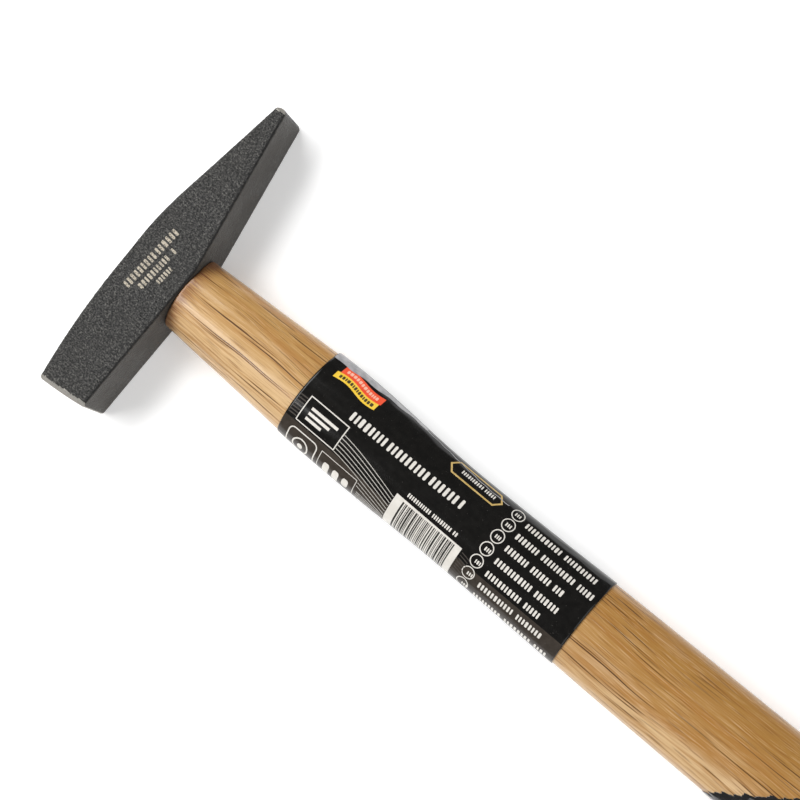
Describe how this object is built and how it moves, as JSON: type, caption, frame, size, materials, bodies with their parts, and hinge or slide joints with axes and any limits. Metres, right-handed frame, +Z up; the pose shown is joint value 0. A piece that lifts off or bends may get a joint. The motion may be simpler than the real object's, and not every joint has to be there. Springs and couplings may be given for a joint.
{
  "type": "cross peen hammer",
  "caption": "Light fitter's hammer with a square striking face, a wedge-shaped cross peen and an oval lacquered wooden handle with a black dipped end.",
  "frame": {"origin": "middle of the bottom of the bounding box, with the hammer lying on one cheek of its head", "axes": "+X along the handle from the head to the butt, +Y from the striking face to the peen, +Z up through the thickness"},
  "size_m": [0.2602, 0.0824, 0.0151],
  "materials": {
    "forged_steel": "dark grey paint over pebbled forging scale, ground at the face",
    "lacquered_wood": "clear gloss lacquer",
    "wedge_wood": "bare end grain",
    "wedge_steel": "bare steel",
    "label_print": "gloss printed film",
    "black_lacquer": "thick gloss dip coat"
  },
  "bodies": {
    "root": {"head": "forged_steel", "handle": "lacquered_wood", "wooden_wedge": "wedge_wood", "steel_wedge": "wedge_steel", "label_film": "label_print", "end_lacquer": "black_lacquer"}
  },
  "joints": []
}
